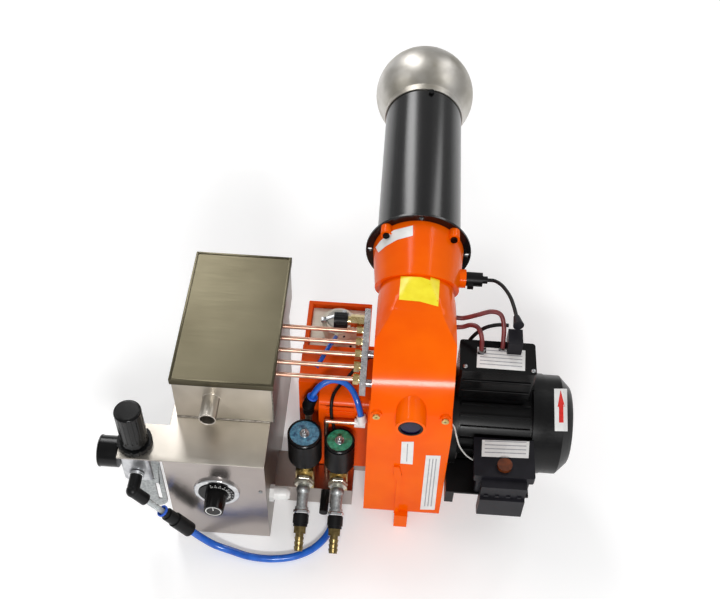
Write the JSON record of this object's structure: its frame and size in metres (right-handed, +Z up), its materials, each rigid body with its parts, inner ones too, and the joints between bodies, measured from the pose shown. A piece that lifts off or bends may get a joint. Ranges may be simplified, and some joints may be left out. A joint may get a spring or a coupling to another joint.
{
  "type": "waste oil burner",
  "caption": "Forced-draught waste oil burner: orange fan housing, black blast tube with a steel ball head, motor, and a steel control box with a preheating tank, valves and hoses.",
  "frame": {"origin": "On the blast tube axis, at the front face of the mounting flange", "axes": "+Y along the flame, +X towards the motor, +Z up"},
  "size_m": [0.605, 0.7265, 0.347],
  "materials": {
    "orange_paint": "glossy orange enamel",
    "black_tube": "satin black heat-resistant paint",
    "heat_steel": "heat-tinted stainless sheet",
    "dark_screws": "blackened",
    "blue_glass": "dark blue",
    "bright_steel": "machined",
    "diffuser_steel": "heat-darkened",
    "ceramic": "glazed ceramic",
    "brass": "machined",
    "motor_black": "satin black",
    "black_plastic": "moulded",
    "lead_red": "dark red silicone",
    "cable_black": "smooth",
    "stainless": "brushed stainless sheet",
    "chrome": "polished",
    "white_plastic": "moulded",
    "cast_silver": "cast",
    "zinc": "galvanised",
    "clear_plastic": "clear",
    "hose_blue": "smooth polyurethane",
    "copper": "bright copper",
    "cream_plastic": "moulded",
    "needle_red": "painted",
    "brown_plastic": "moulded"
  },
  "bodies": {
    "burner": {"volute_housing": "orange_paint", "housing_neck": "orange_paint", "front_cover": "orange_paint", "mounting_flange": "black_tube", "blast_tube": "black_tube", "flame_head": "heat_steel", "screws": "dark_screws", "sight_glass": "blue_glass", "oil_lance": "bright_steel", "spray_nozzle": "brass", "diffuser_disc": "diffuser_steel", "electrodes": "ceramic", "motor_body": "motor_black", "motor_flange": "motor_black", "fan_cowl": "motor_black", "ignition_transformer": "black_plastic", "ht_lead_long": "lead_red", "ht_lead_short": "lead_red", "photocell": "black_plastic", "photocell_cable": "cable_black", "wiring_plugs": "black_plastic", "control_unit": "black_plastic", "control_box": "stainless", "thermostat": "chrome", "cable_gland": "white_plastic", "preheat_tank": "stainless", "tank_heater": "bright_steel", "regulator_body": "cast_silver", "regulator_ring": "black_plastic", "regulator_bracket": "zinc", "gauge_case": "black_plastic", "push_elbows": "black_plastic", "clear_tube": "clear_plastic", "hose_reducer": "black_plastic", "air_hose": "hose_blue", "copper_pipes": "copper", "brass_fittings": "brass", "manifold_bar": "cast_silver", "pressure_switch": "cream_plastic", "intake_box": "orange_paint", "switch_tray": "orange_paint", "valve_channel": "stainless", "valve_bodies": "brass", "valve_coils": "black_plastic", "outlet_elbows": "zinc", "hose_unions": "black_plastic", "brass_nipples": "brass", "white_elbow": "white_plastic", "nozzle_hose": "hose_blue", "switch_hose": "hose_blue"},
    "rotor": {"motor_rotor": "bright_steel", "impeller": "cast_silver", "cooling_fan": "black_plastic"},
    "thermostat_dial": {"thermostat_knob": "black_plastic"},
    "pressure_knob": {"regulator_knob": "black_plastic"},
    "needle": {"gauge_needle": "needle_red"},
    "flow_knob": {"metering_knob": "black_plastic"},
    "damper": {"air_damper": "bright_steel"},
    "button": {"reset_button": "brown_plastic"},
    "lid": {"tank_lid": "stainless"}
  },
  "joints": [
    {"name": "rotor_spin", "type": "hinge", "parent": "burner", "child": "rotor", "pos_m": [0.05, -0.172, -0.141], "axis": [1, 0, 0], "continuous": true},
    {"name": "thermostat_turn", "type": "hinge", "parent": "burner", "child": "thermostat_dial", "pos_m": [-0.241, -0.3, -0.156], "axis": [0, -1, 0], "range_deg": [0, 270]},
    {"name": "pressure_turn", "type": "hinge", "parent": "burner", "child": "pressure_knob", "pos_m": [-0.343, -0.276, -0.07], "axis": [0, 0, 1], "range_deg": [-360, 360]},
    {"name": "needle_turn", "type": "hinge", "parent": "burner", "child": "needle", "pos_m": [-0.38, -0.276, -0.116], "axis": [-1, 0, 0], "range_deg": [0, 270]},
    {"name": "flow_turn", "type": "hinge", "parent": "burner", "child": "flow_knob", "pos_m": [-0.095, -0.096, -0.042], "axis": [1, 0, 0], "range_deg": [-360, 360]},
    {"name": "damper_turn", "type": "hinge", "parent": "burner", "child": "damper", "pos_m": [-0.084, -0.172, -0.211], "axis": [0, 1, 0], "range_deg": [0, 60]},
    {"name": "button_push", "type": "slide", "parent": "burner", "child": "button", "axis": [0, 0, -1], "range_m": [0, 0.004], "stiffness_N_per_m": 300},
    {"name": "lid_lift", "type": "slide", "parent": "burner", "child": "lid", "axis": [0, 0, 1], "range_m": [0, 0.05]}
  ]
}
